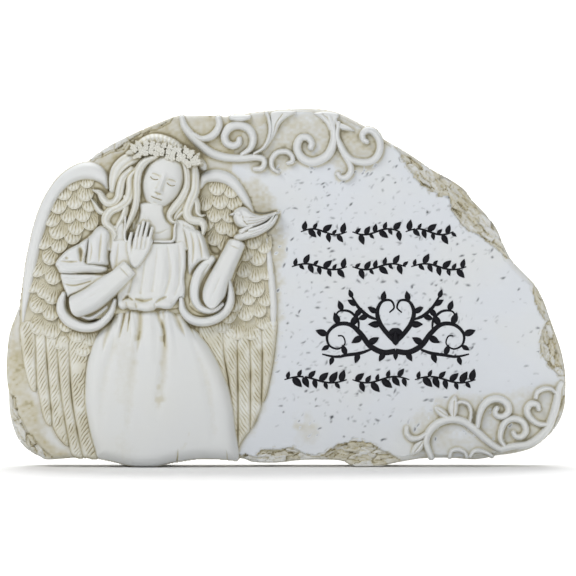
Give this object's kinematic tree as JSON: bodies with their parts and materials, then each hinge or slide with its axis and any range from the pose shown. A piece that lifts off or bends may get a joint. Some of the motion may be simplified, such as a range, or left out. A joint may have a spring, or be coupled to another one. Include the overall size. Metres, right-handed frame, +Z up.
{
  "type": "angel garden stone",
  "caption": "Upright cast-resin garden stone with a robed, winged figure holding a bird in high relief, scrollwork and painted sprigs.",
  "frame": {"origin": "centre of the footprint on the ground, under the middle of the overall box", "axes": "+X to the viewer's right along the stone's width, +Y towards its flat back, +Z up; the relief faces -Y"},
  "size_m": [0.3047, 0.042, 0.1954],
  "materials": {
    "cast_stone": "matte cold-cast resin with stone powder, pale grey-white over khaki antiquing, pitted field and chipped rim",
    "pale_wash": "satin-matte off-white paint rubbed over khaki antiquing that stays in the creases",
    "antique_wash": "off-white ridges over khaki antiquing in the feathers"
  },
  "bodies": {
    "root": {"stone_slab": "cast_stone", "skirt": "pale_wash", "bodice": "pale_wash", "neckline_trim_left": "pale_wash", "neckline_trim_right": "pale_wash", "neck": "pale_wash", "head": "pale_wash", "crown_hair": "pale_wash", "left_swept_lock": "pale_wash", "left_face_lock": "pale_wash", "right_face_lock": "pale_wash", "right_curl": "pale_wash", "flower_wreath": "pale_wash", "left_shoulder": "pale_wash", "left_cape_upper_fold": "pale_wash", "left_cape_lower_fold": "pale_wash", "left_forearm": "pale_wash", "left_hand": "pale_wash", "left_sleeve_loop": "pale_wash", "right_shoulder": "pale_wash", "right_sleeve_inner_loop": "pale_wash", "right_sleeve_outer_loop": "pale_wash", "right_forearm": "pale_wash", "right_hand": "pale_wash", "dove": "pale_wash", "left_wing_arch": "pale_wash", "right_wing_arch": "pale_wash", "top_left_scroll": "pale_wash", "top_middle_scroll": "pale_wash", "top_right_scroll": "pale_wash", "corner_arch_scroll": "pale_wash", "corner_side_scroll": "pale_wash", "left_wing_coverts": "antique_wash", "left_flight_feather_1": "antique_wash", "left_flight_feather_2": "antique_wash", "left_flight_feather_3": "antique_wash", "left_flight_feather_4": "antique_wash", "left_flight_feather_5": "antique_wash", "right_wing_upper_coverts": "antique_wash", "right_wing_lower_coverts": "antique_wash", "right_flight_feather_1": "antique_wash", "right_flight_feather_2": "antique_wash", "right_flight_feather_3": "antique_wash", "right_flight_feather_4": "antique_wash", "right_flight_feather_5": "antique_wash"}
  },
  "joints": []
}
